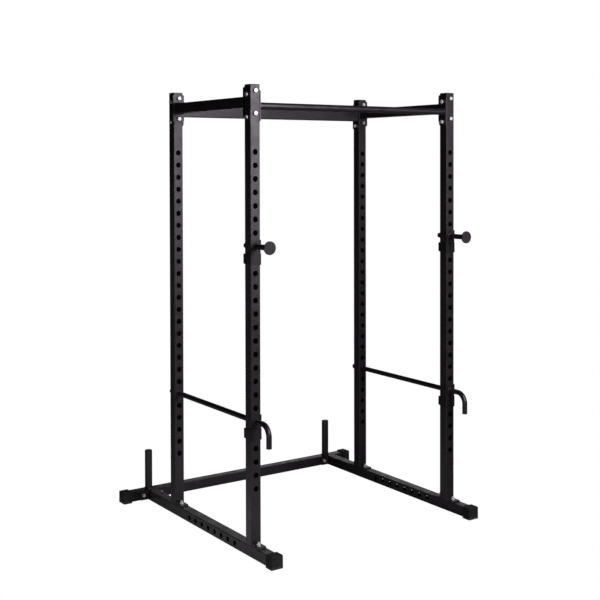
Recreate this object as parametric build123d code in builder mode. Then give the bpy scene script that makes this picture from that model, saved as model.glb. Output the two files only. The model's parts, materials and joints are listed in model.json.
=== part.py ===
"""Power cage: a bolted square-tube frame with four drilled uprights, a pull-up bar,
two pull-out bar hooks, two pull-out safety bars and two upright plate pegs.

The frame stands on rubber boots. +Z is up, the lifter walks in from -Y, and the origin
is on the floor under the middle of the whole cage.
"""
import os

from build123d import *

# ---------------------------------------------------------------- driving dimensions (mm)
overall_length = 1256.0  # front boot faces to the rear boots' backs
overall_height = 2110.0
upright_spacing_x = 1156.0  # centre to centre, left to right
upright_spacing_y = 720.0  # centre to centre, front to back
uprights_offset_x = 14.0  # middle of the uprights, right of the crossmember's middle
front_setback = 197.0  # front boot faces to the front uprights' centre
crossmember_setback = 31.0  # rear boots' backs to the base crossmember's centre
crossmember_end_x = 707.0  # end of the crossmember's tube

tube = 50.0  # outside of every square tube
tube_wall = 2.0
tube_radius = 3.0  # outside corner radius
ground_gap = 5.0  # boot sole, under the base tubes

hole_pitch = 60.0
hole_count = 26
hole_bottom_z = 310.0
hole_radius = 13.0
rail_hole_pitch = 61.0
rail_hole_count = 8
rail_hole_radius = 12.5
rail_hole_offset = -25.0  # middle of the row, from the middle of the uprights

plate_thick = 5.0  # every welded end plate
plate_wide = 60.0  # side beam plates
plate_narrow = 50.0  # cross bar, upright foot and rail end plates
end_plate_long = 140.0
end_plate_chamfer = 7.0
end_plate_bolts = 101.0  # between the two bolts of an end plate
foot_plate_long = 145.0
foot_plate_chamfer = 4.0
foot_plate_bolts = 92.0

side_beam_z = 2031.0  # centre height of the beams that run front to back
cross_bar_z = 2015.0  # centre height of the bars that run left to right
pull_up_bar_radius = 16.0

bolt_radius = 5.0  # M10
bolt_hole_radius = 5.5
bolt_head_flats = 17.0
bolt_head_height = 6.5
bolt_tip_chamfer = 1.0
hex_crown = 0.4  # how far a hexagon's corners stand out of its crowned end
hex_crown_angle = 30.0
nut_height = 8.0
washer_radius = 10.0
washer_thick = 2.0
thread_past_nut = 3.0
foot_thread_past_nut = 8.0

cap_flange = 4.0
cap_edge_radius = 1.5
cap_plug_depth = 12.0
cap_plug_wall = 2.5
cap_gap = 0.25  # between a plug and the tube it fills

peg_spacing = 1141.0
peg_radius = 19.0
peg_height = 200.0
peg_wall = 2.5
peg_collar_radius = 23.0
peg_collar_height = 4.0
peg_collar_taper = 20.0
peg_cap_height = 3.0
peg_cap_chamfer = 1.2

pin_radius = 12.5  # bar hooks and safety bars
pin_end_chamfer = 3.0
hook_hole_index = 18  # counted up from the lowest hole
hook_reach = 121.0  # upright's front face to the end disc's front
hook_tail = 35.0  # pin's end behind the upright's rear face
disc_radius = 30.0
disc_thick = 8.0
disc_edge_radius = 1.5

safety_hole_index = 5
safety_tail = 28.0  # bar's end behind the rear upright's rear face
safety_wall = 3.0
safety_bend_radius = 50.0
safety_drop_reach = 107.0  # upright's front face to the dropped end's centre
safety_drop = 97.0  # bar's axis to the dropped end's tip
safety_plug_lip = 2.0

saddle_thick = 3.0
saddle_gap = 0.5  # to the upright's front face and sides
saddle_bend_radius = 2.5  # outside
saddle_above_pin = 28.0
saddle_below_pin = 83.0
saddle_wing_depth = 60.0
saddle_wing_low = 79.0  # lower wing's bottom edge, below the pin's axis
saddle_wing_high = 33.0  # lower wing's top edge, below the pin's axis
saddle_ear_depth = 22.0  # the short upper ears
saddle_ear_height = 24.0
saddle_corner = 3.0
saddle_waist_width = 50.0
saddle_hole_gap = 0.2

boot_wall = 5.0
boot_flare = 1.0  # how much wider the foot is on each side
boot_slant = 13.0  # how far the end face leans out at the floor
boot_end_wall = 6.0
front_boot_length = 47.0  # at the floor
rear_boot_length = 46.0
boot_edge_radius = 4.0

# ---------------------------------------------------------------- derived places
front_y = -overall_length / 2 + front_setback
rear_y = front_y + upright_spacing_y
crossmember_y = overall_length / 2 - crossmember_setback
rail_front_y = -overall_length / 2 + boot_end_wall + boot_slant
rail_rear_y = crossmember_y - tube / 2
base_z = ground_gap + tube / 2
base_top_z = ground_gap + tube
half = tube / 2
upright_foot_z = base_top_z + plate_thick
upright_top_z = overall_height - cap_flange
upright_height = upright_top_z - upright_foot_z
hook_z = hole_bottom_z + hook_hole_index * hole_pitch
safety_z = hole_bottom_z + safety_hole_index * hole_pitch
bar_length = upright_spacing_x - tube - 2 * plate_thick  # between the end plates
bar_start_x = uprights_offset_x - bar_length / 2
sides = {"left": -1, "right": 1}
rows = {"front": front_y, "rear": rear_y}
upright_x = {}
for side_name, side in sides.items():
    upright_x[side_name] = uprights_offset_x + side * upright_spacing_x / 2


def save(solid, name):
    """Label one finished piece and write it as a STEP file."""
    solid.label = name
    export_step(solid, f"parts/{name}.step")


def save_group(solids, name):
    """Write several separate solids, welded or bolted side by side, as one node."""
    save(Compound(children=list(solids)), name)


def square_tube(plane, length):
    """A square tube that starts on the plane and runs along its normal."""
    with BuildPart() as piece:
        with BuildSketch(plane):
            RectangleRounded(tube, tube, tube_radius)
            inner = tube - 2 * tube_wall
            RectangleRounded(inner, inner, tube_radius - tube_wall, mode=Mode.SUBTRACT)
        extrude(amount=length)
    return piece.part


def bolted_plate(plane, width, length, corner, bolts):
    """A flat plate with two bolt holes; its long side is the plane's local Y."""
    with BuildPart() as piece:
        with BuildSketch(plane):
            Rectangle(width, length)
            chamfer(vertices(), corner)
            with GridLocations(0, bolts, 1, 2):
                Circle(bolt_hole_radius, mode=Mode.SUBTRACT)
        extrude(amount=plate_thick)
    return piece.part


def end_plate(plane, width):
    return bolted_plate(plane, width, end_plate_long, end_plate_chamfer, end_plate_bolts)


def drilled(solid, holes):
    """Drill right through a tube; each hole is (plane on the centre line, radius)."""
    with BuildPart() as piece:
        add(solid)
        for plane, radius in holes:
            with BuildSketch(plane):
                Circle(radius)
            extrude(amount=tube, both=True, mode=Mode.SUBTRACT)
    return piece.part


def along_x(x, y, z):
    """A plane with its normal along +X and its local Y straight up."""
    return Plane(origin=(x, y, z), x_dir=(0, 1, 0), z_dir=(1, 0, 0))


def along_y(x, y, z):
    """A plane with its normal along +Y and its local Y straight up."""
    return Plane(origin=(x, y, z), x_dir=(-1, 0, 0), z_dir=(0, 1, 0))


def upward(x, y, z):
    """A level plane that faces up, with its local Y along the cage."""
    return Plane(origin=(x, y, z))


def pair(centre, spacing):
    """The two places that lie evenly about a centre."""
    return [centre - spacing / 2, centre + spacing / 2]


# ---------------------------------------------------------------- frame
def upright(x, y):
    """One corner post: a drilled tube welded on its foot plate."""
    post = square_tube(upward(x, y, upright_foot_z), upright_height)
    holes = []
    for index in range(hole_count):
        holes.append((along_y(x, y, hole_bottom_z + index * hole_pitch), hole_radius))
    for z in pair(side_beam_z, end_plate_bolts):
        holes.append((along_y(x, y, z), bolt_hole_radius))
    for z in pair(cross_bar_z, end_plate_bolts):
        holes.append((along_x(x, y, z), bolt_hole_radius))
    foot = bolted_plate(
        upward(x, y, base_top_z), plate_narrow, foot_plate_long, foot_plate_chamfer, foot_plate_bolts
    )
    return [drilled(post, holes), foot]


def base_rail(x):
    """A floor rail with peg holes through its sides and a plate on its rear end."""
    length = rail_rear_y - plate_thick - rail_front_y
    rail = square_tube(along_y(x, rail_front_y, base_z), length)
    middle_y = (front_y + rear_y) / 2 + rail_hole_offset
    first_y = middle_y - rail_hole_pitch * (rail_hole_count - 1) / 2
    holes = []
    for index in range(rail_hole_count):
        y = first_y + index * rail_hole_pitch
        holes.append((along_x(x, y, base_z), rail_hole_radius))
    with BuildPart() as piece:
        add(drilled(rail, holes))
        for bolt_y in pair(front_y, foot_plate_bolts) + pair(rear_y, foot_plate_bolts):
            with BuildSketch(upward(x, bolt_y, base_z)):
                Circle(bolt_hole_radius)
            extrude(amount=tube, mode=Mode.SUBTRACT)
    flat = Plane(origin=(x, rail_rear_y - plate_thick, base_z), x_dir=(0, 0, 1), z_dir=(0, 1, 0))
    return [piece.part, end_plate(flat, plate_narrow)]


def side_beam(x):
    """A top beam from a front upright to a rear one, with a plate on each end."""
    start = front_y + half
    end = rear_y - half
    beam_start = along_y(x, start + plate_thick, side_beam_z)
    beam = square_tube(beam_start, end - start - 2 * plate_thick)
    front_plate = end_plate(along_y(x, start, side_beam_z), plate_wide)
    rear_plate = end_plate(along_y(x, end - plate_thick, side_beam_z), plate_wide)
    return [beam, front_plate, rear_plate]


def cross_bar_plates(y):
    """The two end plates of a bar that runs left to right between two uprights."""
    left_plate = end_plate(along_x(bar_start_x - plate_thick, y, cross_bar_z), plate_narrow)
    right_plate = end_plate(along_x(bar_start_x + bar_length, y, cross_bar_z), plate_narrow)
    return [left_plate, right_plate]


def pull_up_bar():
    with BuildPart() as bar:
        with BuildSketch(along_x(bar_start_x, front_y, cross_bar_z)):
            Circle(pull_up_bar_radius)
            Circle(pull_up_bar_radius - tube_wall, mode=Mode.SUBTRACT)
        extrude(amount=bar_length)
    return [bar.part, *cross_bar_plates(front_y)]


def rear_top_crossmember():
    beam = square_tube(along_x(bar_start_x, rear_y, cross_bar_z), bar_length)
    return [beam, *cross_bar_plates(rear_y)]


def base_crossmember():
    """The rear floor tube, with the rail bolts' holes in its front wall."""
    beam = square_tube(along_x(-crossmember_end_x, crossmember_y, base_z), 2 * crossmember_end_x)
    with BuildPart() as piece:
        add(beam)
        for x in crossmember_bolt_places():
            with BuildSketch(along_y(x, rail_rear_y, base_z)):
                Circle(bolt_hole_radius)
            extrude(amount=half, mode=Mode.SUBTRACT)
    return piece.part


# ---------------------------------------------------------------- small fittings
def upright_cap(x, y):
    """A moulded plug for the top of an upright, with a flange as wide as the tube."""
    inner = tube - 2 * (tube_wall + cap_gap)
    with BuildPart() as cap:
        with BuildSketch(upward(x, y, upright_top_z)):
            RectangleRounded(tube, tube, tube_radius)
        extrude(amount=cap_flange)
        fillet(cap.faces().sort_by(Axis.Z)[-1].edges(), cap_edge_radius)
        with BuildSketch(upward(x, y, upright_top_z - cap_plug_depth)):
            RectangleRounded(inner, inner, tube_radius - tube_wall)
            offset(amount=-cap_plug_wall, kind=Kind.INTERSECTION, mode=Mode.SUBTRACT)
        extrude(amount=cap_plug_depth)
    return cap.part


def boot(end_x, end_y, outward, length):
    """A rubber boot on the end of a base tube; outward points off the tube's end."""
    run = Vector(*outward)
    across = Vector(0, 0, 1).cross(run)
    start = Vector(end_x, end_y, 0) + run * (boot_end_wall + boot_slant - length)
    section = Plane(origin=start, x_dir=across, z_dir=run)
    from_side = Plane(origin=start - across * tube, x_dir=run, z_dir=across)
    top_half = half + boot_wall
    foot_half = top_half + boot_flare
    top = base_top_z + boot_wall
    with BuildPart() as piece:
        with BuildSketch(section):
            with BuildLine():
                Polyline(
                    (-foot_half, 0), (foot_half, 0), (top_half, top), (-top_half, top), close=True
                )
            make_face()
        extrude(amount=length)
        # the end face leans out towards the floor
        with BuildSketch(from_side):
            with BuildLine():
                Polyline((length, 0), (length, top), (length - boot_slant, top), close=True)
            make_face()
        extrude(amount=2 * tube, mode=Mode.SUBTRACT)
        mouth = piece.faces().sort_by(Axis(start, run))[0]
        fillet(piece.edges() - mouth.edges(), boot_edge_radius)
        with BuildSketch(Plane(origin=start + Vector(0, 0, base_z), x_dir=across, z_dir=run)):
            RectangleRounded(tube, tube, tube_radius)
        extrude(amount=length - boot_slant - boot_end_wall, mode=Mode.SUBTRACT)
    return piece.part


def plate_peg(x):
    """An upright storage tube welded on the crossmember, with a collar at its foot."""
    with BuildPart() as peg:
        with BuildSketch(upward(x, crossmember_y, base_top_z)):
            Circle(peg_collar_radius)
        extrude(amount=peg_collar_height, taper=peg_collar_taper)
        with BuildSketch(upward(x, crossmember_y, base_top_z)):
            Circle(peg_radius)
        extrude(amount=peg_height - peg_cap_height)
        with BuildSketch(upward(x, crossmember_y, base_top_z)):
            Circle(peg_radius - peg_wall)
        extrude(amount=peg_height, mode=Mode.SUBTRACT)
    return peg.part


def plate_peg_cap(x):
    """A plug in the peg's top, flush with its side so that plates slide over it."""
    top_z = base_top_z + peg_height
    with BuildPart() as cap:
        with BuildSketch(upward(x, crossmember_y, top_z - peg_cap_height)):
            Circle(peg_radius)
        extrude(amount=peg_cap_height)
        chamfer(cap.faces().sort_by(Axis.Z)[-1].edges(), peg_cap_chamfer)
        with BuildSketch(upward(x, crossmember_y, top_z - peg_cap_height)):
            Circle(peg_radius - peg_wall - cap_gap)
        extrude(amount=-cap_plug_depth)
    return cap.part


# ---------------------------------------------------------------- bar hooks and safety bars
def saddle(x, pin_z):
    """A bent plate that straddles the upright's front and stops a pin from turning."""
    plate_y = front_y - half - saddle_gap - saddle_thick
    bend_x = half + saddle_gap
    outer = bend_x + saddle_thick
    low = -saddle_below_pin
    high = saddle_above_pin
    wing_low = -saddle_wing_low
    wing_high = -saddle_wing_high
    ear_low = high - saddle_ear_height
    corner = saddle_corner
    with BuildPart() as piece:
        # the bent sheet: a U seen from above
        with BuildSketch(Plane(origin=(x, plate_y, pin_z + low))):
            with Locations((0, saddle_wing_depth / 2)):
                Rectangle(2 * outer, saddle_wing_depth)
            fillet(vertices().group_by(Axis.Y)[0], saddle_bend_radius)
            with Locations((0, saddle_thick + saddle_wing_depth / 2)):
                Rectangle(2 * bend_x, saddle_wing_depth, mode=Mode.SUBTRACT)
        extrude(amount=high - low)
        # seen from the side: deep wings below, short ears above
        side_plane = Plane(origin=(x - outer, plate_y, pin_z), x_dir=(0, 1, 0), z_dir=(1, 0, 0))
        with BuildSketch(side_plane):
            with BuildLine():
                Polyline(
                    (0, low),
                    (saddle_thick, low),
                    (saddle_thick + corner, wing_low),
                    (saddle_wing_depth - corner, wing_low),
                    (saddle_wing_depth, wing_low + corner),
                    (saddle_wing_depth, wing_high - corner),
                    (saddle_wing_depth - corner, wing_high),
                    (saddle_thick, wing_high),
                    (saddle_thick, ear_low),
                    (saddle_ear_depth, ear_low),
                    (saddle_ear_depth, high - corner),
                    (saddle_ear_depth - corner, high),
                    (0, high),
                    close=True,
                )
            make_face()
        extrude(amount=2 * outer, mode=Mode.INTERSECT)
        # relief notches, and the pin's hole
        with BuildSketch(along_y(x, plate_y, pin_z)):
            with Locations((0, (wing_high + ear_low) / 2)):
                with GridLocations(saddle_waist_width + tube, 0, 2, 1):
                    Rectangle(tube, ear_low - wing_high)
            Circle(pin_radius + saddle_hole_gap)
        extrude(amount=saddle_thick, mode=Mode.SUBTRACT)
    return piece.part


def hook_pin(x):
    """The solid pin that carries the barbell in front and locks in the upright."""
    start_y = front_y - half - hook_reach + disc_thick
    end_y = front_y + half + hook_tail
    with BuildPart() as pin:
        with BuildSketch(along_y(x, start_y, hook_z)):
            Circle(pin_radius)
        extrude(amount=end_y - start_y)
        chamfer(pin.faces().sort_by(Axis.Y)[-1].edges(), pin_end_chamfer)
    return pin.part


def hook_disc(x):
    """The round stop on the pin's front end, which keeps the barbell on."""
    with BuildPart() as disc:
        with BuildSketch(along_y(x, front_y - half - hook_reach, hook_z)):
            Circle(disc_radius)
        extrude(amount=disc_thick)
        fillet(disc.edges().filter_by(GeomType.CIRCLE), disc_edge_radius)
    return disc.part


def safety_bar(x):
    """A long tube through both uprights of one side, bent down at the front."""
    drop_y = front_y - half - safety_drop_reach
    end_y = rear_y + half + safety_tail
    with BuildPart() as bar:
        with BuildLine() as path:
            FilletPolyline(
                (x, end_y, safety_z),
                (x, drop_y, safety_z),
                (x, drop_y, safety_z - safety_drop),
                radius=safety_bend_radius,
            )
        with BuildSketch(Plane(origin=path.line @ 0, z_dir=path.line % 0)):
            Circle(pin_radius)
            Circle(pin_radius - safety_wall, mode=Mode.SUBTRACT)
        sweep()
    return bar.part


def round_plug(plane):
    """A plug for a safety bar's end: a rounded lip outside and a stem inside."""
    with BuildPart() as plug:
        with BuildSketch(plane):
            Circle(pin_radius)
        extrude(amount=safety_plug_lip)
        outer_face = plug.faces().sort_by(Axis(plane.origin, plane.z_dir))[-1]
        fillet(outer_face.edges(), safety_plug_lip / 2)
        with BuildSketch(plane):
            Circle(pin_radius - safety_wall - cap_gap)
        extrude(amount=-cap_plug_depth)
    return plug.part


# ---------------------------------------------------------------- fasteners
def turned_out(origin, direction):
    """A plane at a bolt's seat whose normal points out of the joint, head side."""
    return Plane(origin=origin, z_dir=direction)


def hex_bolt(origin, direction, shank):
    """A hexagon bolt: the head stands on the plane, the shank runs the other way."""
    plane = turned_out(origin, direction)
    with BuildPart() as piece:
        with BuildSketch(plane):
            RegularPolygon(bolt_head_flats / 2, 6, major_radius=False)
        extrude(amount=bolt_head_height)
        with BuildSketch(plane.offset(bolt_head_height)):
            Circle(bolt_head_flats / 2 + hex_crown)
        extrude(amount=-bolt_head_height, taper=-hex_crown_angle, mode=Mode.INTERSECT)
        with BuildSketch(plane):
            Circle(bolt_radius)
        extrude(amount=-shank)
        chamfer(piece.faces().sort_by(Axis(origin, direction))[0].edges(), bolt_tip_chamfer)
    return piece.part


def ring(origin, direction, outer, inner, thick):
    """A flat washer on the plane."""
    with BuildPart() as piece:
        with BuildSketch(turned_out(origin, direction)):
            Circle(outer)
            Circle(inner, mode=Mode.SUBTRACT)
        extrude(amount=thick)
    return piece.part


def hex_nut(origin, direction):
    """A nut that stands on the plane, crowned at its free end."""
    plane = turned_out(origin, direction)
    with BuildPart() as piece:
        with BuildSketch(plane):
            RegularPolygon(bolt_head_flats / 2, 6, major_radius=False)
            Circle(bolt_radius, mode=Mode.SUBTRACT)
        extrude(amount=nut_height)
        with BuildSketch(plane.offset(nut_height)):
            Circle(bolt_head_flats / 2 + hex_crown)
        extrude(amount=-nut_height, taper=-hex_crown_angle, mode=Mode.INTERSECT)
    return piece.part


def through_joint(seat, direction, grip, thread_past=thread_past_nut):
    """Bolt, two washers and a nut that clamp a stack; seat is its head-side face."""
    out = Vector(*direction)
    seat = Vector(*seat)
    back = seat - out * grip
    shank = grip + 2 * washer_thick + nut_height + thread_past
    bolt = hex_bolt(seat + out * washer_thick, out, shank)
    washers = [
        ring(seat, out, washer_radius, bolt_hole_radius, washer_thick),
        ring(back, -out, washer_radius, bolt_hole_radius, washer_thick),
    ]
    nut = hex_nut(back - out * washer_thick, -out)
    return bolt, washers, nut


def blind_joint(seat, direction, grip):
    """Bolt, washer and a nut welded inside the tube; seat is the plate's outer face."""
    out = Vector(*direction)
    seat = Vector(*seat)
    back = seat - out * grip
    shank = grip + washer_thick + nut_height + thread_past_nut
    bolt = hex_bolt(seat + out * washer_thick, out, shank)
    washers = [ring(seat, out, washer_radius, bolt_hole_radius, washer_thick)]
    return bolt, washers, hex_nut(back, -out)


def crossmember_bolt_places():
    return pair(upright_x["left"], end_plate_bolts) + pair(upright_x["right"], end_plate_bolts)


def save_joints(joints, name):
    """Write a set of joints as three nodes: bolts, washers and nuts."""
    save_group([bolt for bolt, _, _ in joints], f"{name}_bolts")
    save_group([w for _, washers, _ in joints for w in washers], f"{name}_washers")
    save_group([nut for _, _, nut in joints], f"{name}_nuts")


# ---------------------------------------------------------------- write the pieces
os.makedirs("parts", exist_ok=True)

for side_name, side in sides.items():
    x = upright_x[side_name]
    for row_name, y in rows.items():
        save_group(upright(x, y), f"upright_{row_name}_{side_name}")
        save(upright_cap(x, y), f"upright_cap_{row_name}_{side_name}")
    save_group(base_rail(x), f"base_rail_{side_name}")
    save_group(side_beam(x), f"side_beam_{side_name}")
    save(boot(x, rail_front_y, (0, -1, 0), front_boot_length), f"boot_front_{side_name}")
    end_x = side * crossmember_end_x
    save(boot(end_x, crossmember_y, (side, 0, 0), rear_boot_length), f"boot_rear_{side_name}")
    save(plate_peg(side * peg_spacing / 2), f"plate_peg_{side_name}")
    save(plate_peg_cap(side * peg_spacing / 2), f"plate_peg_cap_{side_name}")

save_group(pull_up_bar(), "pull_up_bar")
save_group(rear_top_crossmember(), "rear_top_crossmember")
save(base_crossmember(), "base_crossmember")

for side_name, x in upright_x.items():
    save(hook_pin(x), f"hook_pin_{side_name}")
    save(hook_disc(x), f"hook_disc_{side_name}")
    save(saddle(x, hook_z), f"hook_saddle_{side_name}")
    save(safety_bar(x), f"safety_bar_{side_name}")
    save(saddle(x, safety_z), f"safety_saddle_{side_name}")
    tip = Plane(origin=(x, rear_y + half + safety_tail, safety_z), z_dir=(0, 1, 0))
    drop_y = front_y - half - safety_drop_reach
    foot = Plane(origin=(x, drop_y, safety_z - safety_drop), z_dir=(0, 0, -1))
    save(round_plug(tip), f"safety_rear_plug_{side_name}")
    save(round_plug(foot), f"safety_front_plug_{side_name}")

side_beam_joints = []
cross_bar_joints = []
foot_joints = []
for side_name, side in sides.items():
    x = upright_x[side_name]
    for y, facing in ((front_y, -1), (rear_y, 1)):
        for z in pair(side_beam_z, end_plate_bolts):
            seat = (x, y + facing * half, z)
            side_beam_joints.append(through_joint(seat, (0, facing, 0), tube + plate_thick))
        for z in pair(cross_bar_z, end_plate_bolts):
            seat = (x + side * half, y, z)
            cross_bar_joints.append(through_joint(seat, (side, 0, 0), tube + plate_thick))
        for bolt_y in pair(y, foot_plate_bolts):
            # the heads are inside the rail, the nuts on top of the foot plate
            seat = (x, bolt_y, base_top_z - tube_wall)
            grip = tube_wall + plate_thick
            foot_joints.append(through_joint(seat, (0, 0, -1), grip, foot_thread_past_nut))
rail_joints = []
for x in crossmember_bolt_places():
    seat = (x, rail_rear_y - plate_thick, base_z)
    rail_joints.append(blind_joint(seat, (0, -1, 0), plate_thick + tube_wall))

save_joints(side_beam_joints, "side_beam")
save_joints(cross_bar_joints, "cross_bar")
save_joints(foot_joints, "upright_foot")
save_joints(rail_joints, "rail_end")
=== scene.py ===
"""Power cage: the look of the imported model, with studio light and a camera."""

import json
import math

import bmesh
import bpy
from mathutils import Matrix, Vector


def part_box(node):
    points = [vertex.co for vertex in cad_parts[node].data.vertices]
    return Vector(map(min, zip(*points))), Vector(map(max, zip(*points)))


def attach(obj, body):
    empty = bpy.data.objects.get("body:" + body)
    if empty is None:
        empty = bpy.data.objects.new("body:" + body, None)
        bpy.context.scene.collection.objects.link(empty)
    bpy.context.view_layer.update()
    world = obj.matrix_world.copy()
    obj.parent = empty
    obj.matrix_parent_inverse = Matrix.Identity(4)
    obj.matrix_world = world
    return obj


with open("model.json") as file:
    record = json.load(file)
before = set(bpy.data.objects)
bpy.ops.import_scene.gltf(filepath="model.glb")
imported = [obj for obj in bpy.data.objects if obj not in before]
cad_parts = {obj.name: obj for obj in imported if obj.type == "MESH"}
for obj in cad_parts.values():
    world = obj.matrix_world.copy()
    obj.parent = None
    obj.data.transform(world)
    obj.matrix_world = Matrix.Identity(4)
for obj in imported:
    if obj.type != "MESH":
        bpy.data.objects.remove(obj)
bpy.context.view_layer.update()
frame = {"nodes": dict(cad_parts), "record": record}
nodes = frame["nodes"]
scene = bpy.context.scene

MM = 0.001
SIDES = ("left", "right")
ROWS = ("front", "rear")
WHITE = (1.0, 1.0, 1.0, 1.0)

# ---------------------------------------------------------------- camera
CAMERA_PLACE = (-3.1173, -4.5344, 1.7650)
CAMERA_TURN = (89.029, 0.121, -34.41)  # degrees; mostly the turn towards the cage
CAMERA_LENS = 65.12  # mm, like the sensor
CAMERA_SENSOR = 36.0
CAMERA_SHIFT_Y = -0.1996  # the lens is shifted down, which keeps the uprights parallel
CAMERA_REACH = 100.0


def add_camera():
    data = bpy.data.cameras.new("camera")
    data.lens = CAMERA_LENS
    data.sensor_width = CAMERA_SENSOR
    data.shift_y = CAMERA_SHIFT_Y
    data.clip_end = CAMERA_REACH
    camera = bpy.data.objects.new("camera", data)
    camera.location = CAMERA_PLACE
    camera.rotation_euler = [math.radians(a) for a in CAMERA_TURN]
    scene.collection.objects.link(camera)
    scene.camera = camera


# ---------------------------------------------------------------- shader helpers
def grey(value):
    return (value, value, value, 1.0)


def coordinates(tree, kind):
    """Places fixed to the piece: Object is in metres, Generated runs from 0 to 1 over its box."""
    return tree.nodes.new("ShaderNodeTexCoord").outputs[kind]


def component(tree, vector, axis):
    """The vector's X, Y or Z."""
    parts = tree.nodes.new("ShaderNodeSeparateXYZ")
    tree.links.new(vector, parts.inputs["Vector"])
    return parts.outputs[axis]


def maths(tree, operation, value, number=None):
    """A maths node on a value, and on a fixed number where the operation takes two."""
    node = tree.nodes.new("ShaderNodeMath")
    node.operation = operation
    tree.links.new(value, node.inputs[0])
    if number is not None:
        node.inputs[1].default_value = number
    return node.outputs["Value"]


def ramp(tree, factor, low, high, start=0.35, end=0.65):
    """A colour or grey ramp between two values over part of the factor's range."""
    node = tree.nodes.new("ShaderNodeValToRGB")
    node.color_ramp.elements[0].position = start
    node.color_ramp.elements[1].position = end
    node.color_ramp.elements[0].color = low
    node.color_ramp.elements[1].color = high
    tree.links.new(factor, node.inputs["Fac"])
    return node.outputs["Color"]


def object_noise(tree, scale, detail=2.0, roughness=0.5):
    """Noise fixed to the piece; scale is in features per metre."""
    noise = tree.nodes.new("ShaderNodeTexNoise")
    noise.inputs["Scale"].default_value = scale
    noise.inputs["Detail"].default_value = detail
    noise.inputs["Roughness"].default_value = roughness
    tree.links.new(coordinates(tree, "Object"), noise.inputs["Vector"])
    return noise.outputs["Fac"]


def mix_colour(tree, factor, a, b):
    """From a to b as the factor goes from 0 to 1; each is a fixed colour or a node's output."""
    node = tree.nodes.new("ShaderNodeMix")
    node.data_type = "RGBA"
    tree.links.new(factor, node.inputs["Factor"])
    for socket, value in ((node.inputs["A"], a), (node.inputs["B"], b)):
        if isinstance(value, tuple):
            socket.default_value = value
        else:
            tree.links.new(value, socket)
    return node.outputs["Result"]


def seen_and_felt(tree, seen, felt):
    """Give camera rays one shader and every other ray the other."""
    mix = tree.nodes.new("ShaderNodeMixShader")
    path = tree.nodes.new("ShaderNodeLightPath")
    tree.links.new(path.outputs["Is Camera Ray"], mix.inputs["Fac"])
    tree.links.new(felt, mix.inputs[1])
    tree.links.new(seen, mix.inputs[2])
    return mix.outputs["Shader"]


# ---------------------------------------------------------------- studio
ROOM_LIGHT = 0.002  # the dark room that the cage reflects

# each lamp's name, place, what it faces, width and height, and watts
LAMPS = [
    ("key", (0.5, -3.0, 2.75), (-0.45, -0.4, 1.8), (0.8, 2.8), 116),
    ("side_key", (2.9, -3.0, 2.1), (0.5, 0, 1.8), (1.2, 1.5), 7),
    ("corner_glow", (-4.6, -3.0, 1.0), (-0.5, 0, 1.0), (1.4, 1.8), 30),
    ("low_rear_glow", (4.2, 5.2, 1.3), (0, 0, 1.9), (4.0, 0.7), 4),
    ("rear_glow", (4.2, 5.2, 2.0), (0, 0, 0.4), (4.0, 2.6), 20),
    ("left_glow", (-4.8, 6.3, 0.45), (-0.5, 0, 1.2), (5.0, 1.2), 2.2),
]

FLOOR_SIZE = 60.0
POOL_CENTRE = (-0.9, -0.7, 0.0)
POOL_REACH = 5.0
# distance from the pool's centre, and the floor's brightness there
POOL_STOPS = [(0.0, 0.62), (0.7, 0.60), (1.0, 0.42), (1.45, 0.22), (1.85, 0.09), (5.0, 0.05)]

RAIL_SHADOW = 0.5  # how much of the floor's light is left right beside a rail
RAIL_SHADOW_START = 0.06  # distance from the rail's middle where the light begins to return
RAIL_SHADOW_END = 0.26  # and where all of it is back


def area_light(name, place, target, size, watts):
    """A soft rectangular lamp that faces the target and isn't seen itself."""
    data = bpy.data.lights.new(name, "AREA")
    data.shape = "RECTANGLE"
    data.size, data.size_y = size
    data.energy = watts
    lamp = bpy.data.objects.new(name, data)
    lamp.location = place
    lamp.rotation_euler = (Vector(target) - Vector(place)).to_track_quat("-Z", "Y").to_euler()
    lamp.visible_camera = False
    scene.collection.objects.link(lamp)


def add_world():
    """White behind the cage; a dark room for what the cage reflects."""
    world = bpy.data.worlds.new("studio")
    scene.world = world
    world.use_nodes = True
    tree = world.node_tree
    tree.nodes.clear()
    seen = tree.nodes.new("ShaderNodeBackground")
    seen.inputs["Color"].default_value = WHITE
    felt = tree.nodes.new("ShaderNodeBackground")
    felt.inputs["Color"].default_value = WHITE
    felt.inputs["Strength"].default_value = ROOM_LIGHT
    shader = seen_and_felt(tree, seen.outputs["Background"], felt.outputs["Background"])
    out = tree.nodes.new("ShaderNodeOutputWorld")
    tree.links.new(shader, out.inputs["Surface"])


def light_pool(tree, place):
    """The floor's light: a soft pool that fades with the distance from its centre."""
    away = tree.nodes.new("ShaderNodeVectorMath")
    away.operation = "DISTANCE"
    away.inputs[1].default_value = POOL_CENTRE
    tree.links.new(place, away.inputs[0])
    reach = maths(tree, "DIVIDE", away.outputs["Value"], POOL_REACH)
    pool = tree.nodes.new("ShaderNodeValToRGB")
    stops = pool.color_ramp.elements
    while len(stops) < len(POOL_STOPS):
        stops.new(0.5)
    for stop, (distance, level) in zip(stops, POOL_STOPS):
        stop.position = distance / POOL_REACH
        stop.color = grey(level)
    tree.links.new(reach, pool.inputs["Fac"])
    return pool.outputs["Color"]


def rail_shadow(tree, place):
    """Less light from the floor close to the two floor rails."""
    left, right = (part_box(f"base_rail_{side}") for side in SIDES)
    left_x, right_x = ((low.x + high.x) / 2 for low, high in (left, right))
    distance = component(tree, place, "X")
    # first the distance from the rails' middle line, then from the nearer rail
    for shift in ((left_x + right_x) / 2, (right_x - left_x) / 2):
        distance = maths(tree, "ABSOLUTE", maths(tree, "SUBTRACT", distance, shift))
    return ramp(tree, distance, grey(RAIL_SHADOW), grey(1.0), RAIL_SHADOW_START, RAIL_SHADOW_END)


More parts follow.
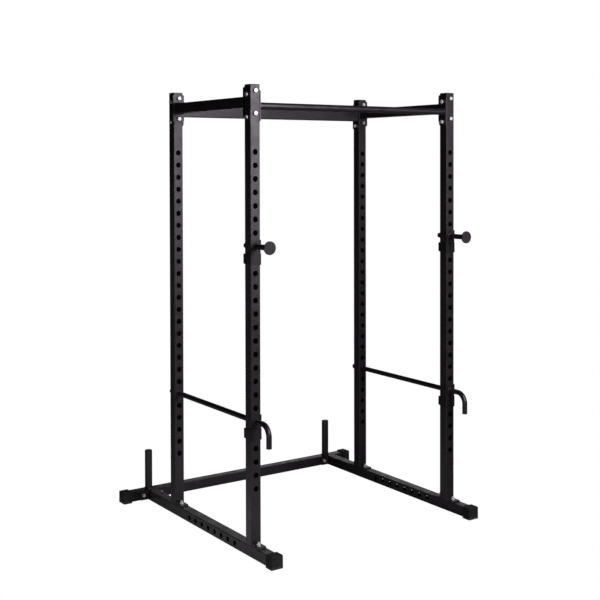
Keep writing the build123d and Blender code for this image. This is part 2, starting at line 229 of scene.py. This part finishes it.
def floor_material():
    """White to the camera; for the cage, a pool of light with the rails' shadows in it."""
    material = bpy.data.materials.new("floor_white")
    material.use_nodes = True
    tree = material.node_tree
    tree.nodes.clear()
    place = coordinates(tree, "Object")
    lit = tree.nodes.new("ShaderNodeVectorMath")
    lit.operation = "MULTIPLY"
    tree.links.new(light_pool(tree, place), lit.inputs[0])
    tree.links.new(rail_shadow(tree, place), lit.inputs[1])
    seen = tree.nodes.new("ShaderNodeEmission")
    seen.inputs["Color"].default_value = WHITE
    felt = tree.nodes.new("ShaderNodeEmission")
    tree.links.new(lit.outputs["Vector"], felt.inputs["Color"])
    shader = seen_and_felt(tree, seen.outputs["Emission"], felt.outputs["Emission"])
    out = tree.nodes.new("ShaderNodeOutputMaterial")
    tree.links.new(shader, out.inputs["Surface"])
    return material


def add_floor():
    """A white floor that lights the cage with a soft pool of light at its front left."""
    mesh = bpy.data.meshes.new("floor")
    h = FLOOR_SIZE / 2
    mesh.from_pydata([(-h, -h, 0), (h, -h, 0), (h, h, 0), (-h, h, 0)], [], [(0, 1, 2, 3)])
    floor = bpy.data.objects.new("floor", mesh)
    scene.collection.objects.link(floor)
    mesh.materials.append(floor_material())


# ---------------------------------------------------------------- materials
IOR = 1.5
COAT_TINT = (0.98, 0.89, 1.0, 1)  # the black coat reflects with a faint plum cast
SPECK_COLOUR = (0.10, 0.10, 0.105, 1)  # pale grains in the coat
EDGE_WEAR_AND_HIGHLIGHT_COLOUR = (0.09, 0.088, 0.09, 1)  # the coat's paler edges: partly the coat thin on an edge, partly a painted highlight
EDGE_WEAR_AND_HIGHLIGHT_WIDTH = 1.2 * MM
DUST_COLOUR = (0.05, 0.048, 0.045, 1)
LOW_EDGE_HIGHLIGHT_COLOUR = (0.045, 0.042, 0.043, 1)  # the boots' lower edges: a painted highlight where the flared lip catches light
ZINC_METALLIC = 0.5  # dulled plate


def shade(name, roughness, metallic=0.0):
    """A node material with its main shader; returns the material, its tree and the shader."""
    material = bpy.data.materials.new(name)
    material.use_nodes = True
    tree = material.node_tree
    shader = tree.nodes["Principled BSDF"]
    shader.inputs["Roughness"].default_value = roughness
    shader.inputs["Metallic"].default_value = metallic
    shader.inputs["IOR"].default_value = IOR
    return material, tree, shader


def vary_roughness(tree, shader, noise, low, high):
    tree.links.new(ramp(tree, noise, grey(low), grey(high)), shader.inputs["Roughness"])


def add_bump(tree, shader, heights):
    """Stack bumps on the shader; heights is a list of (factor, strength, depth in m)."""
    normal = None
    for factor, strength, depth in heights:
        bump = tree.nodes.new("ShaderNodeBump")
        bump.inputs["Strength"].default_value = strength
        bump.inputs["Distance"].default_value = depth
        tree.links.new(factor, bump.inputs["Height"])
        if normal is not None:
            tree.links.new(normal, bump.inputs["Normal"])
        normal = bump.outputs["Normal"]
    tree.links.new(normal, shader.inputs["Normal"])


def edge_mask(tree, radius):
    """1 on edges within the radius, 0 on flats."""
    bevel = tree.nodes.new("ShaderNodeBevel")
    bevel.samples = 4
    bevel.inputs["Radius"].default_value = radius
    flat = tree.nodes.new("ShaderNodeNewGeometry")
    dot = tree.nodes.new("ShaderNodeVectorMath")
    dot.operation = "DOT_PRODUCT"
    tree.links.new(bevel.outputs["Normal"], dot.inputs[0])
    tree.links.new(flat.outputs["Normal"], dot.inputs[1])
    return ramp(tree, dot.outputs["Value"], grey(1.0), grey(0.0), start=0.90, end=0.995)


def powder_coat(name, dark, light, roughness, peel=1.0, shine=0.5):
    """Black powder coat: fine orange peel, cloudy gloss and paler edges, partly a thin coat and partly
    a painted highlight.
    """
    material, tree, shader = shade(name, roughness)
    shader.inputs["Specular IOR Level"].default_value = shine
    shader.inputs["Specular Tint"].default_value = COAT_TINT
    grain = object_noise(tree, scale=1400.0)
    colour = ramp(tree, object_noise(tree, scale=9.0, detail=4.0), dark, light)
    speck = ramp(tree, grain, grey(0.0), grey(0.10), start=0.55, end=0.80)
    colour = mix_colour(tree, speck, colour, SPECK_COLOUR)
    # paler edges in patches: partly the coat worn thin, partly a painted highlight along the edges
    edge_patches = object_noise(tree, scale=260.0, detail=3.0)
    edge_patches = ramp(tree, edge_patches, grey(0.10), grey(0.45), start=0.45, end=0.70)
    edge_wear_and_highlight = mix_colour(tree, edge_mask(tree, EDGE_WEAR_AND_HIGHLIGHT_WIDTH), grey(0.0), edge_patches)
    colour = mix_colour(tree, edge_wear_and_highlight, colour, EDGE_WEAR_AND_HIGHLIGHT_COLOUR)
    tree.links.new(colour, shader.inputs["Base Color"])
    gloss = object_noise(tree, scale=26.0, detail=3.0)
    vary_roughness(tree, shader, gloss, roughness - 0.05, roughness + 0.06)
    orange_peel = object_noise(tree, scale=650.0, detail=1.0)
    add_bump(tree, shader, [
        (orange_peel, 0.22 * peel, 0.12 * MM),
        (grain, 0.10 * peel, 0.05 * MM),
    ])
    return material


def rubber():
    """Moulded black rubber: dusty, and paler near the floor, a painted highlight where the flared lip
    catches light.
    """
    material, tree, shader = shade("boot_rubber", roughness=0.74)
    shader.inputs["Specular IOR Level"].default_value = 0.3
    cloud = object_noise(tree, scale=55.0, detail=5.0, roughness=0.6)
    colour = ramp(tree, cloud, (0.0050, 0.0042, 0.0048, 1), (0.0175, 0.0155, 0.0165, 1))
    dust = object_noise(tree, scale=420.0, detail=3.0)
    dust = ramp(tree, dust, grey(0.0), grey(0.35), start=0.58, end=0.78)
    colour = mix_colour(tree, dust, colour, DUST_COLOUR)
    # painted highlight: the boot is paler towards the floor, where its flared lip catches light
    height = component(tree, coordinates(tree, "Generated"), "Z")
    low_edge_highlight = ramp(tree, height, grey(1.0), grey(0.0), start=0.05, end=0.30)
    colour = mix_colour(tree, low_edge_highlight, colour, LOW_EDGE_HIGHLIGHT_COLOUR)
    tree.links.new(colour, shader.inputs["Base Color"])
    vary_roughness(tree, shader, cloud, 0.62, 0.82)
    add_bump(tree, shader, [
        (object_noise(tree, scale=160.0, detail=4.0, roughness=0.6), 0.35, 0.5 * MM),
        (object_noise(tree, scale=1600.0), 0.20, 0.1 * MM),
    ])
    return material


def moulded(name, dark, light, roughness, shine=0.5):
    """Fine-grained moulded plastic."""
    material, tree, shader = shade(name, roughness)
    shader.inputs["Specular IOR Level"].default_value = shine
    colour = ramp(tree, object_noise(tree, scale=30.0, detail=3.0), dark, light)
    tree.links.new(colour, shader.inputs["Base Color"])
    gloss = object_noise(tree, scale=120.0, detail=3.0)
    vary_roughness(tree, shader, gloss, roughness - 0.06, roughness + 0.06)
    grain = tree.nodes.new("ShaderNodeTexVoronoi")
    grain.inputs["Scale"].default_value = 1100.0
    tree.links.new(coordinates(tree, "Object"), grain.inputs["Vector"])
    add_bump(tree, shader, [(grain.outputs["Distance"], 0.25, 0.08 * MM)])
    return material


def zinc(name, dark, light, roughness):
    """Zinc plate: cloudy silver with fine grain and duller patches."""
    material, tree, shader = shade(name, roughness, metallic=ZINC_METALLIC)
    colour = ramp(tree, object_noise(tree, scale=320.0, detail=3.0), grey(dark), grey(light))
    tree.links.new(colour, shader.inputs["Base Color"])
    gloss = object_noise(tree, scale=700.0)
    vary_roughness(tree, shader, gloss, roughness - 0.08, roughness + 0.08)
    add_bump(tree, shader, [(object_noise(tree, scale=2400.0), 0.15, 0.04 * MM)])
    return material


def make_materials():
    """Every finish by its slot's name, a duller zinc for the washers, and a brighter copy of the zinc
    for the foot fasteners, a painted highlight.
    """
    return {
        "frame_coat": powder_coat(
            "frame_powder_coat", dark=(0.0078, 0.0052, 0.0074, 1), light=(0.0124, 0.0086, 0.0118, 1),
            roughness=0.40,
        ),
        "saddle_coat": powder_coat(
            "saddle_powder_coat", dark=(0.0054, 0.0036, 0.0053, 1), light=(0.0086, 0.0058, 0.0083, 1),
            roughness=0.46, shine=0.36,
        ),
        "bar_coat": powder_coat(
            "bar_powder_coat", dark=(0.0086, 0.0062, 0.0084, 1), light=(0.0140, 0.0100, 0.0136, 1),
            roughness=0.33, peel=0.6,
        ),
        "hook_disc": moulded(
            "disc_plastic", dark=(0.017, 0.0125, 0.017, 1), light=(0.026, 0.0195, 0.026, 1),
            roughness=0.62, shine=0.30,
        ),
        "plastic_cap": moulded(
            "cap_plastic", dark=(0.012, 0.012, 0.013, 1), light=(0.020, 0.020, 0.021, 1),
            roughness=0.50,
        ),
        "rubber_boot": rubber(),
        "zinc_fastener": zinc("zinc_plate", dark=0.52, light=0.76, roughness=0.42),
        "washers": zinc("zinc_washer", dark=0.05, light=0.09, roughness=0.55),
        # a brighter copy of the zinc for the foot fasteners: a painted highlight of the light they
        # reflect
        "foot_fasteners_painted_highlight": zinc("zinc_painted_highlight", dark=0.60, light=0.85, roughness=0.34),
    }


def dress_cad_nodes(materials):
    """Give every CAD node its slot's finish; washers are duller, and the foot fasteners get a brighter
    copy of the zinc, a painted highlight.
    """
    for entry in frame["record"]["subparts"]:
        finish = entry["material_slot"]
        # the foot fasteners get the brighter zinc copy, a painted highlight
        if entry["node"].startswith("upright_foot_"):
            finish = "foot_fasteners_painted_highlight"
        elif entry["node"].endswith("_washers"):
            finish = "washers"
        mesh = nodes[entry["node"]].data
        mesh.materials.clear()
        mesh.materials.append(materials[finish])


# ---------------------------------------------------------------- weld beads
X_AXIS, Y_AXIS, Z_AXIS = Vector((1, 0, 0)), Vector((0, 1, 0)), Vector((0, 0, 1))
TUBE_HALF = 25.0 * MM
TUBE_RADIUS = 3.0 * MM  # the square tube's outer corners
PULL_UP_RADIUS = 16.0 * MM
PLATE = 5.0 * MM  # thickness of every welded plate

WELD_LEG = 4.0 * MM
SMALL_WELD_LEG = 3.0 * MM
WELD_RUN = TUBE_HALF - 2 * MM  # a straight bead reaches this far each way from the tube's middle
WELD_RIPPLE = 2.6 * MM  # length of one ripple along the bead
WELD_STEPS = 4  # stations per ripple
WELD_SPACING = WELD_RIPPLE / WELD_STEPS
WELD_ARC = range(0, 91, 15)  # degrees, from the plate round to the tube
WELD_BULGE = 0.75  # under 1 flattens the bead's round section
WELD_ROOT = 0.4 * MM  # how far the bead goes in behind its corner
WELD_END = 0.35  # size of a straight bead's ends, as a share of its middle
RIPPLE_DEPTH = 0.10  # as a share of the bead's size
RIPPLE_WANDER = [(0.05, 410.0, 0.0), (0.03, 1130.0, 1.0)]  # share of the size, radians per metre, phase
COLLAR_INSET = 1.0 * MM  # a peg's bead starts this far inside its collar


def bead_section(corner, outward, off_plate, leg):
    """The bead's section: from the plate, round to the tube, and back inside the corner."""
    points = []
    for degrees in WELD_ARC:
        angle = math.radians(degrees)
        reach = abs(math.cos(angle)) ** (1 / WELD_BULGE) * leg
        rise = abs(math.sin(angle)) ** (1 / WELD_BULGE) * leg
        points.append(corner + outward * reach + off_plate * rise)
    points.append(corner - outward * WELD_ROOT - off_plate * WELD_ROOT)
    return points


def ripple(distance):
    """Scalloped size of the bead along its length, a little uneven."""
    phase = (distance / WELD_RIPPLE) % 1.0
    wander = sum(share * math.sin(distance * rate + turn) for share, rate, turn in RIPPLE_WANDER)
    return 1.0 + RIPPLE_DEPTH * (1.0 - phase) ** 2 + wander


def face_outwards(mesh):
    """Make every face point outwards and shade it smooth."""
    work = bmesh.new()
    work.from_mesh(mesh)
    bmesh.ops.recalc_face_normals(work, faces=work.faces)
    work.to_mesh(mesh)
    work.free()
    for polygon in mesh.polygons:
        polygon.use_smooth = True


def bead_mesh(name, stations, closed):
    """A mesh through sections that all have the same number of points."""
    mesh = bpy.data.meshes.new(name)
    count = len(stations[0])
    vertices = [tuple(p) for section in stations for p in section]
    faces = []
    last = len(stations) if closed else len(stations) - 1
    for i in range(last):
        j = (i + 1) % len(stations)
        for k in range(count):
            m = (k + 1) % count
            faces.append((i * count + k, i * count + m, j * count + m, j * count + k))
    if not closed:
        faces.append(tuple(reversed(range(count))))
        faces.append(tuple(last * count + k for k in range(count)))
    mesh.from_pydata(vertices, [], faces)
    face_outwards(mesh)
    return mesh


def place_piece(name, mesh, materials, slot, body):
    """Put a finished bead on its body, in its slot's finish."""
    mesh.materials.append(materials[slot])
    piece = bpy.data.objects.new(name, mesh)
    scene.collection.objects.link(piece)
    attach(piece, body)


def rounded_loop(half, radius):
    """Points round a square with rounded corners, as (u, v, outward u, outward v)."""
    loop = []
    flat = half - radius
    side_steps = max(2, round(2 * flat / WELD_SPACING))
    arc_steps = max(4, round(math.pi / 2 * radius / WELD_SPACING) + 3)
    for side in range(4):
        turn = side * math.pi / 2
        cos_t, sin_t = round(math.cos(turn)), round(math.sin(turn))
        local = [(half, -flat + 2 * flat * i / side_steps, 1.0, 0.0) for i in range(side_steps)]
        for i in range(arc_steps):
            angle = math.pi / 2 * i / arc_steps
            c, s = math.cos(angle), math.sin(angle)
            local.append((flat + radius * c, flat + radius * s, c, s))
        for u, v, du, dv in local:
            loop.append((u * cos_t - v * sin_t, u * sin_t + v * cos_t,
                         du * cos_t - dv * sin_t, du * sin_t + dv * cos_t))
    return loop


def round_loop(radius):
    """Points round a circle, in the same form as rounded_loop."""
    count = round(2 * math.pi * radius / WELD_SPACING)
    turns = [2 * math.pi * i / count for i in range(count)]
    return [(radius * math.cos(a), radius * math.sin(a), math.cos(a), math.sin(a)) for a in turns]


def weld_ring(materials, name, centre, across, along, off_plate, loop,
              leg=WELD_LEG, body="cage", slot="frame_coat"):
    """A closed bead where a tube meets a plate."""
    stations = []
    distance = 0.0
    previous = None
    for u, v, du, dv in loop:
        corner = centre + across * u + along * v
        outward = (across * du + along * dv).normalized()
        if previous is not None:
            distance += (corner - previous).length
        previous = corner
        stations.append(bead_section(corner, outward, off_plate, leg * ripple(distance)))
    place_piece(name, bead_mesh(name, stations, closed=True), materials, slot, body)


def weld_strip(materials, name, start, end, outward, off_plate):
    """A straight bead with tapered ends."""
    length = (end - start).length
    count = round(length / WELD_SPACING)
    stations = []
    for i in range(count + 1):
        distance = length * i / count
        ease = min(1.0, distance / WELD_LEG, (length - distance) / WELD_LEG)
        taper = WELD_END + (1 - WELD_END) * math.sin(ease * math.pi / 2)
        corner = start + (end - start) * (distance / length)
        stations.append(bead_section(corner, outward, off_plate, WELD_LEG * ripple(distance) * taper))
    place_piece(name, bead_mesh(name, stations, closed=False), materials, "frame_coat", "cage")


def weld_uprights(materials):
    """Beads in front of and behind each upright, on its foot plate."""
    for row in ROWS:
        for side in SIDES:
            node = f"upright_{row}_{side}"
            low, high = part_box(node)
            centre = (low + high) / 2
            z = low.z + PLATE
            for place, facing in (("front", -1), ("back", 1)):
                y = centre.y + facing * TUBE_HALF
                weld_strip(
                    materials, f"weld_{node}_{place}",
                    start=Vector((centre.x - WELD_RUN, y, z)), end=Vector((centre.x + WELD_RUN, y, z)),
                    outward=Y_AXIS * facing, off_plate=Z_AXIS,
                )


def weld_side_beams(materials):
    """Beads all round each side beam, on its two end plates."""
    for side in SIDES:
        node = f"side_beam_{side}"
        low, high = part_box(node)
        centre = (low + high) / 2
        for place, y, facing in (("front", low.y + PLATE, 1), ("rear", high.y - PLATE, -1)):
            weld_ring(
                materials, f"weld_{node}_{place}", Vector((centre.x, y, centre.z)),
                across=X_AXIS, along=Z_AXIS, off_plate=Y_AXIS * facing,
                loop=rounded_loop(TUBE_HALF, TUBE_RADIUS),
            )


def weld_pull_up_bar(materials):
    """Beads round the pull-up bar, on its two end plates."""
    low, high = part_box("pull_up_bar")
    centre = (low + high) / 2
    for place, x, facing in (("left", low.x + PLATE, 1), ("right", high.x - PLATE, -1)):
        weld_ring(
            materials, f"weld_pull_up_bar_{place}", Vector((x, centre.y, centre.z)),
            across=Y_AXIS, along=Z_AXIS, off_plate=X_AXIS * facing, loop=round_loop(PULL_UP_RADIUS),
        )


def weld_rear_crossmember(materials):
    """Beads above and below the rear top crossmember, on its two end plates."""
    low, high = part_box("rear_top_crossmember")
    centre = (low + high) / 2
    for place, x, facing in (("left", low.x + PLATE, 1), ("right", high.x - PLATE, -1)):
        for edge, up in (("top", 1), ("bottom", -1)):
            z = centre.z + up * TUBE_HALF
            weld_strip(
                materials, f"weld_rear_top_{place}_{edge}",
                start=Vector((x, centre.y - WELD_RUN, z)), end=Vector((x, centre.y + WELD_RUN, z)),
                outward=Z_AXIS * up, off_plate=X_AXIS * facing,
            )


def weld_rails(materials):
    """Upright beads on both sides of each floor rail, on its rear end plate."""
    for side in SIDES:
        low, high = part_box(f"base_rail_{side}")
        centre = (low + high) / 2
        y = high.y - PLATE
        for place, facing in (("outer", -1), ("inner", 1)):
            x = centre.x + facing * TUBE_HALF
            weld_strip(
                materials, f"weld_base_rail_{side}_{place}",
                start=Vector((x, y, centre.z - WELD_RUN)), end=Vector((x, y, centre.z + WELD_RUN)),
                outward=X_AXIS * facing, off_plate=-Y_AXIS,
            )


def weld_pegs(materials):
    """Beads round the plate pegs' collars, on the floor crossmember."""
    for side in SIDES:
        low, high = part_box(f"plate_peg_{side}")
        centre = (low + high) / 2
        weld_ring(
            materials, f"weld_plate_peg_{side}", Vector((centre.x, centre.y, low.z)),
            across=X_AXIS, along=Y_AXIS, off_plate=Z_AXIS,
            loop=round_loop((high.x - low.x) / 2 - COLLAR_INSET), leg=SMALL_WELD_LEG,
        )


def weld_saddle(materials, kind, side, pin, body):
    """The bead round a pin in front of its saddle plate."""
    low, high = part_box(pin)
    radius = (high.x - low.x) / 2
    axis_z = high.z - radius  # measured from above, because a safety bar bends down in front
    saddle_low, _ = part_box(f"{kind}_saddle_{side}")
    weld_ring(
        materials, f"weld_{kind}_saddle_{side}", Vector(((low.x + high.x) / 2, saddle_low.y, axis_z)),
        across=X_AXIS, along=Z_AXIS, off_plate=-Y_AXIS, loop=round_loop(radius),
        body=body, slot="saddle_coat",
    )


def weld_disc(materials, side):
    """The bead round a hook's pin behind its disc."""
    disc_low, disc_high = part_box(f"hook_disc_{side}")
    centre = (disc_low + disc_high) / 2
    pin_low, pin_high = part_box(f"hook_pin_{side}")
    weld_ring(
        materials, f"weld_hook_disc_{side}", Vector((centre.x, disc_high.y, centre.z)),
        across=X_AXIS, along=Z_AXIS, off_plate=Y_AXIS, loop=round_loop((pin_high.x - pin_low.x) / 2),
        leg=SMALL_WELD_LEG, body=f"bar_hook_{side}", slot="bar_coat",
    )


def weld_moving_parts(materials):
    for side in SIDES:
        weld_saddle(materials, "hook", side, pin=f"hook_pin_{side}", body=f"bar_hook_{side}")
        weld_saddle(materials, "safety", side, pin=f"safety_bar_{side}", body=f"safety_{side}")
        weld_disc(materials, side)


# ---------------------------------------------------------------- make everything
add_camera()
add_world()
for lamp in LAMPS:
    area_light(*lamp)
add_floor()
scene.view_settings.view_transform = "Standard"

materials = make_materials()
dress_cad_nodes(materials)
weld_uprights(materials)
weld_side_beams(materials)
weld_pull_up_bar(materials)
weld_rear_crossmember(materials)
weld_rails(materials)
weld_pegs(materials)
weld_moving_parts(materials)
